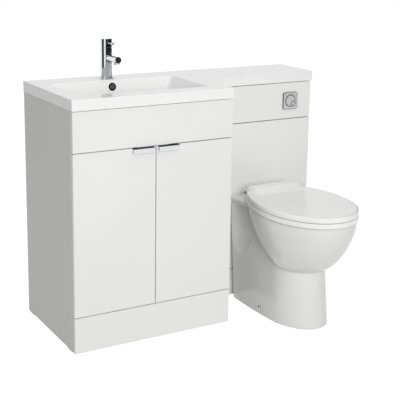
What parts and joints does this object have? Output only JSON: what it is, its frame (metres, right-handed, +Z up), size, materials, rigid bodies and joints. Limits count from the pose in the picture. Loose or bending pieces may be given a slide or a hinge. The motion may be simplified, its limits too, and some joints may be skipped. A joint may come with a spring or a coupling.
{
  "type": "toilet and basin combination unit",
  "caption": "White vanity cabinet with an inset basin and mixer tap, joined to a cistern cabinet and a back-to-wall toilet pan with seat and lid.",
  "frame": {"origin": "on the floor, under the middle of the unit's overall width and depth", "axes": "+X to the user's right along the wall, +Y towards the wall, +Z up"},
  "size_m": [1.104, 0.76, 1.005],
  "materials": {
    "board_gloss": "white high gloss lacquered board",
    "board_side": "white satin laminated board",
    "board_inner": "white melamine board",
    "beech": "bare beech",
    "steel": "zinc plated",
    "chrome": "polished chrome plate",
    "ceramic": "white glaze",
    "basin_cast": "gloss white cast resin and stone",
    "seat_white": "gloss white moulded",
    "plastic_white": "white moulded",
    "plastic_dark": "black moulded",
    "plastic_red": "red moulded",
    "rubber": "black rubber"
  },
  "bodies": {
    "unit": {"side_left": "board_side", "side_right": "board_side", "floor_panel": "board_inner", "front_rail": "board_inner", "rear_rails": "board_inner", "shelf": "board_inner", "shelf_pins": "steel", "fascia": "board_gloss", "plinth": "board_gloss", "plinth_blocks": "board_inner", "dowels": "beech", "glides": "plastic_dark", "hinge_arms": "steel", "carcass_screws": "steel", "basin_top": "basin_cast", "overflow_ring": "chrome", "waste_body": "chrome", "waste_nut": "steel", "trap_body": "chrome", "trap_cup": "chrome", "waste_pipe": "plastic_white", "tap_body": "chrome", "tap_aerator": "chrome", "tap_cartridge": "plastic_white", "tap_fixing": "steel", "wc_side_left": "board_side", "wc_side_right": "board_side", "wc_rails": "board_inner", "wc_upper_panel": "board_gloss", "wc_lower_panel": "board_gloss", "wc_plinth": "board_gloss", "cistern_tank": "plastic_white", "cistern_cover": "plastic_white", "fill_valve": "plastic_white", "flush_valve": "plastic_white", "flush_pipe": "plastic_white", "flush_cone": "rubber", "flush_housing": "plastic_white", "flush_bezel": "chrome", "pan": "ceramic", "pan_brackets": "steel", "pan_screws": "steel", "pan_connector": "plastic_white", "seat_posts": "chrome"},
    "door_left": {"door_left": "board_gloss", "hinge_cups_left": "steel", "pull_left": "chrome"},
    "door_right": {"door_right": "board_gloss", "hinge_cups_right": "steel", "pull_right": "chrome"},
    "waste_plug": {"waste_plug": "chrome"},
    "tap_cap": {"tap_cap": "chrome"},
    "tap_lever": {"tap_lever": "chrome"},
    "fill_float": {"fill_float": "plastic_white"},
    "flush_piston": {"flush_piston": "plastic_red"},
    "button_large": {"button_large": "chrome"},
    "button_small": {"button_small": "chrome"},
    "seat": {"seat_ring": "seat_white", "seat_buffers": "plastic_white"},
    "lid": {"seat_lid": "seat_white"}
  },
  "joints": [
    {"name": "door_left_hinge", "type": "hinge", "parent": "unit", "child": "door_left", "pos_m": [-0.541, -0.051, 0.4065], "axis": [0, 0, -1], "range_deg": [0, 95]},
    {"name": "door_right_hinge", "type": "hinge", "parent": "unit", "child": "door_right", "pos_m": [0.041, -0.051, 0.4065], "axis": [0, 0, 1], "range_deg": [0, 95]},
    {"name": "plug_press", "type": "slide", "parent": "unit", "child": "waste_plug", "axis": [0, 0, -1], "range_m": [0, 0.008]},
    {"name": "cap_turn", "type": "hinge", "parent": "unit", "child": "tap_cap", "pos_m": [-0.256, 0.326, 0.99], "axis": [0, 0, 1], "range_deg": [-45, 45]},
    {"name": "lever_lift", "type": "hinge", "parent": "tap_cap", "child": "tap_lever", "pos_m": [-0.256, 0.326, 0.991], "axis": [-1, 0, 0], "range_deg": [0, 18]},
    {"name": "float_rise", "type": "slide", "parent": "unit", "child": "fill_float", "axis": [0, 0, 1], "range_m": [0, 0.07]},
    {"name": "flush_lift", "type": "slide", "parent": "unit", "child": "flush_piston", "axis": [0, 0, 1], "range_m": [0, 0.01]},
    {"name": "button_large_press", "type": "slide", "parent": "unit", "child": "button_large", "axis": [0, 1, 0], "range_m": [0, 0.005], "stiffness_N_per_m": 400},
    {"name": "button_small_press", "type": "slide", "parent": "unit", "child": "button_small", "axis": [0, 1, 0], "range_m": [0, 0.005], "stiffness_N_per_m": 400},
    {"name": "seat_hinge", "type": "hinge", "parent": "unit", "child": "seat", "pos_m": [0.3, 0.092, 0.429], "axis": [-1, 0, 0], "range_deg": [0, 95]},
    {"name": "lid_hinge", "type": "hinge", "parent": "seat", "child": "lid", "pos_m": [0.3, 0.092, 0.429], "axis": [1, 0, 0], "range_deg": [-95, 0]}
  ],
  "couplings": [
    {"joint": "flush_lift", "follows": "button_large_press", "ratio": 2}
  ]
}
